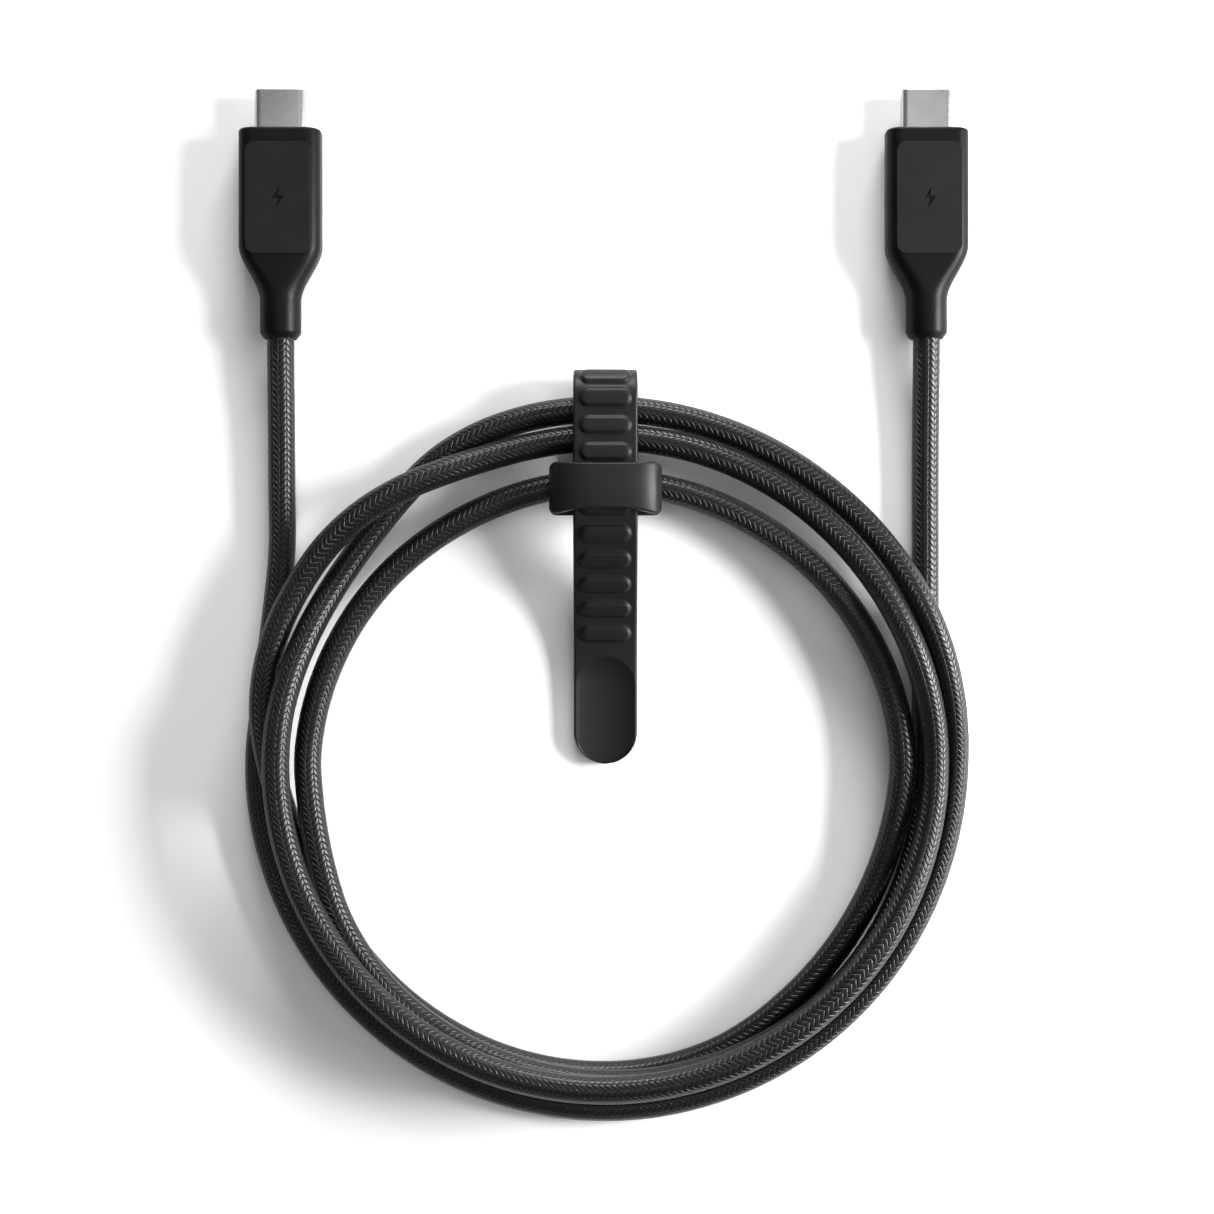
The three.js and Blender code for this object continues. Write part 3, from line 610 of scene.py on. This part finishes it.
class Surface:
    """A node material with one principled shader, and short ways to add to it."""

    def __init__(self, name, **values):
        self.material = bpy.data.materials.new(name)
        self.material.use_nodes = True
        self.nodes = self.material.node_tree.nodes
        self.links = self.material.node_tree.links
        self.shader = self.nodes["Principled BSDF"]
        for socket, value in values.items():
            self.shader.inputs[socket.replace("_", " ")].default_value = value

    def add(self, kind, inputs=None, **settings):
        node = self.nodes.new("ShaderNode" + kind)
        for key, value in settings.items():
            setattr(node, key, value)
        for key, value in (inputs or {}).items():
            if isinstance(value, bpy.types.NodeSocket):
                self.links.new(value, node.inputs[key])
            else:
                node.inputs[key].default_value = value
        return node

    def math(self, operation, *values):
        return self.add("Math", dict(enumerate(values)), operation=operation).outputs[0]

    def noise(self, scale, detail=3.0, stretch=(1, 1, 1)):
        place = self.add("TexCoord").outputs["Object"]
        moved = self.add("Mapping", {"Vector": place, "Scale": stretch}).outputs[0]
        return self.add("TexNoise", {"Vector": moved, "Scale": scale, "Detail": detail}).outputs[0]

    def ramp(self, value, *stops):
        """A colour ramp; stops are (place, grey or colour)."""
        node = self.add("ValToRGB", {0: value})
        for k, (place, colour) in enumerate(stops):
            stop = node.color_ramp.elements[k] if k < 2 else node.color_ramp.elements.new(place)
            stop.position = place
            stop.color = (*colour, 1) if isinstance(colour, tuple) else (*[colour] * 3, 1)
        return node.outputs[0]

    def set(self, socket, value):
        self.links.new(value, self.shader.inputs[socket])

    def bump(self, height, strength, distance):
        before = self.shader.inputs["Normal"]
        inputs = {"Height": height, "Strength": strength, "Distance": distance}
        if before.is_linked:
            inputs["Normal"] = before.links[0].from_socket
        self.set("Normal", self.add("Bump", inputs).outputs[0])


def braid_material():
    """Herringbone braid. Yarn floats lie in columns along the cord, and each column's floats
    slope the other way from its neighbour's. The weave follows the cord's own UVs."""
    s = Surface("braid", Specular_IOR_Level=BRAID_GLOSS)
    place = s.add("SeparateXYZ", {0: s.add("UVMap", uv_map="braid").outputs[0]})
    column = s.math("MULTIPLY", place.outputs[0], BRAID_COLUMNS)
    across = s.math("FRACT", column)
    parity = s.math("FRACT", s.math("MULTIPLY", s.math("FLOOR", column), 0.5))
    lean = s.math("SUBTRACT", s.math("MULTIPLY", parity, 4.0), 1.0)
    slant = s.math("MULTIPLY", lean, s.math("SUBTRACT", across, 0.5))
    yarn = s.math("FRACT", s.math("ADD", place.outputs[1], slant))
    centred = s.math("SUBTRACT", s.math("MULTIPLY", yarn, 2.0), 1.0)
    squared = s.math("MULTIPLY", centred, centred)
    ridge = s.math("SQRT", s.math("SUBTRACT", 1.0, s.math("POWER", squared, 2.0)))
    dive = s.math("POWER", s.math("SINE", s.math("MULTIPLY", across, math.pi)), 0.35)
    weave = s.math("MULTIPLY", ridge, s.math("MULTIPLY_ADD", dive, 0.6, 0.4))
    fray = s.noise(2600, 4)
    filaments = s.math("SINE", s.math("MULTIPLY", yarn, 2 * math.pi * 4))
    # Base colour: random tone from the fray noise, plus painted shade from the weave height,
    # darkest in the valleys between yarns and where the floats dive at the column edges.
    s.set("Base Color", s.ramp(
        s.math("MULTIPLY_ADD", s.math("SUBTRACT", fray, 0.5), 0.5, weave),
        (0.35, 0.0003), (0.75, 0.0014), (1.0, 0.0032)))
    s.set("Roughness", s.ramp(fray, (0.3, 0.28), (0.7, 0.38)))
    s.bump(weave, 1.0, BRAID_RELIEF)
    s.bump(filaments, 0.35, 0.010 * MM)
    s.bump(fray, 0.2, 0.015 * MM)
    return s.material


def moulded_plastic(name, dark, light, rough):
    s = Surface(name, Specular_IOR_Level=PLASTIC_GLOSS)
    grain = s.noise(5200, 3)
    cloud = s.noise(160, 2)
    low, high = (dark, dark, 1.06 * dark), (light, light, 1.06 * light)
    s.set("Base Color", s.ramp(cloud, (0.3, low), (0.7, high)))
    s.set("Roughness", s.ramp(grain, (0.3, rough - 0.06), (0.7, rough + 0.06)))
    s.bump(grain, 0.18, 0.02 * MM)
    return s.material


def shell_metal():
    s = Surface("shell_metal", Metallic=1.0)
    brush = s.noise(900, 4, stretch=(1, 9, 1))
    cloud = s.noise(240, 3)
    s.set("Base Color", s.ramp(cloud, (0.3, (0.44, 0.44, 0.45)), (0.7, (0.49, 0.49, 0.50))))
    s.set("Roughness", s.ramp(brush, (0.3, 0.26), (0.7, 0.34)))
    s.bump(brush, 0.02, 0.002 * MM)
    return s.material


def silicone_rubber():
    s = Surface("silicone_rubber", Specular_IOR_Level=SILICONE_GLOSS)
    grain = s.noise(3800, 3)
    cloud = s.noise(120, 3)
    low, high = (0.0070, 0.0070, 0.0074), (0.0095, 0.0095, 0.0099)
    s.set("Base Color", s.ramp(cloud, (0.3, low), (0.7, high)))
    s.set("Roughness", s.ramp(grain, (0.3, 0.38), (0.7, 0.48)))
    s.bump(grain, 0.15, 0.02 * MM)
    return s.material


def plain(name, dark, light, rough, metallic=0.0, grain=2500):
    """A small inner piece: a slightly mottled colour and a fine grain."""
    s = Surface(name, Metallic=metallic)
    spots = s.noise(grain, 3)
    s.set("Base Color", s.ramp(spots, (0.3, dark), (0.7, light)))
    s.set("Roughness", s.ramp(spots, (0.3, rough - 0.06), (0.7, rough + 0.06)))
    s.bump(spots, 0.1, 0.01 * MM)
    return s.material


INNER_FINISHES = {
    "black_moulding": ("sleeve_moulding", (0.010, 0.010, 0.011), (0.015, 0.015, 0.016), 0.45),
    "contact_gold": ("gold_plate", (0.66, 0.44, 0.13), (0.80, 0.56, 0.20), 0.25, 1.0),
    "circuit_board": ("solder_mask", (0.008, 0.075, 0.028), (0.014, 0.110, 0.045), 0.35),
    "chip_epoxy": ("chip_epoxy", (0.007, 0.007, 0.008), (0.013, 0.013, 0.014), 0.50),
    "tinned_shield": ("tin_plate", (0.40, 0.40, 0.39), (0.52, 0.52, 0.51), 0.35, 1.0),
    "red_wire": ("red_insulation", (0.25, 0.010, 0.010), (0.32, 0.018, 0.016), 0.45),
    "black_wire": ("black_insulation", (0.010, 0.010, 0.010), (0.016, 0.016, 0.016), 0.45),
    "white_wire": ("white_insulation", (0.56, 0.56, 0.52), (0.68, 0.68, 0.64), 0.45),
    "blue_wire": ("blue_insulation", (0.018, 0.075, 0.30), (0.028, 0.10, 0.38), 0.45),
}


def paint(piece, material):
    piece.data.materials.clear()
    piece.data.materials.append(material)


def paint_everything():
    steel, silicone = shell_metal(), silicone_rubber()
    plastic = moulded_plastic("moulded_plastic", 0.0035, 0.0050, 0.38)
    pad_plastic = moulded_plastic("pad_plastic", 0.0090, 0.0115, 0.50)
    paint(cord, braid_material())
    for piece in plug_pieces["plug_body"]:
        paint(piece, pad_plastic if "pad" in piece.name else plastic)
    for piece in plug_pieces["shell_steel"]:
        paint(piece, steel)
    for piece in tie_pieces:
        paint(piece, silicone)
    finishes = {slot: plain(*values) for slot, values in INNER_FINISHES.items()}
    finishes["shell_steel"] = steel
    slots = {part["node"]: part["material_slot"] for part in frame["record"]["subparts"]}
    for name, node in frame["nodes"].items():
        if slots[name] in finishes:
            for slot in node.material_slots:
                slot.material = finishes[slots[name]]


# ---- stage -----------------------------------------------------------------------------

# Name, place, size and power; all of them point at LIT_CENTRE.
LIT_CENTRE = (0, -0.03, 0)
LIGHTS = (
    ("right_softbox", (0.50, 0.02, 0.27), (0.21, 0.13), 6.0),
    ("low_right_strip", (0.30, -0.05, 0.085), (0.30, 0.06), 1.3),
    ("far_softbox", (0.06, 0.57, 0.22), (0.34, 0.13), 5.0),
    ("overhead", (0.1, 0.1, 1.0), (0.9, 0.9), 2.0),
)
WORLD_STRENGTH = 0.20
FLOOR_REACH = 2.0


def area_light(name, place, size, power):
    data = bpy.data.lights.new(name, "AREA")
    data.shape = "RECTANGLE"
    data.size, data.size_y = size
    data.energy = power
    light = bpy.data.objects.new(name, data)
    light.location = place
    way = np.array(LIT_CENTRE) - np.array(place)
    light.rotation_mode = "QUATERNION"
    light.rotation_quaternion = mathutils.Vector(way).to_track_quat("-Z", "Y")
    bpy.context.scene.collection.objects.link(light)


def make_stage():
    r = FLOOR_REACH
    floor = new_mesh("floor", [(-r, -r, 0), (r, -r, 0), (r, r, 0), (-r, r, 0)], [(0, 1, 2, 3)])
    s = Surface("pale_floor", Roughness=0.85, Specular_IOR_Level=0.1)
    s.set("Base Color", s.ramp(s.noise(6, 2), (0.3, 0.90), (0.7, 0.92)))
    paint(floor, s.material)
    world = bpy.data.worlds.new("studio")
    world.use_nodes = True
    world.node_tree.nodes["Background"].inputs["Color"].default_value = (1, 1, 1, 1)
    world.node_tree.nodes["Background"].inputs["Strength"].default_value = WORLD_STRENGTH
    bpy.context.scene.world = world
    for light in LIGHTS:
        area_light(*light)
    bpy.context.scene.view_settings.view_transform = "Standard"


paint_everything()
make_stage()
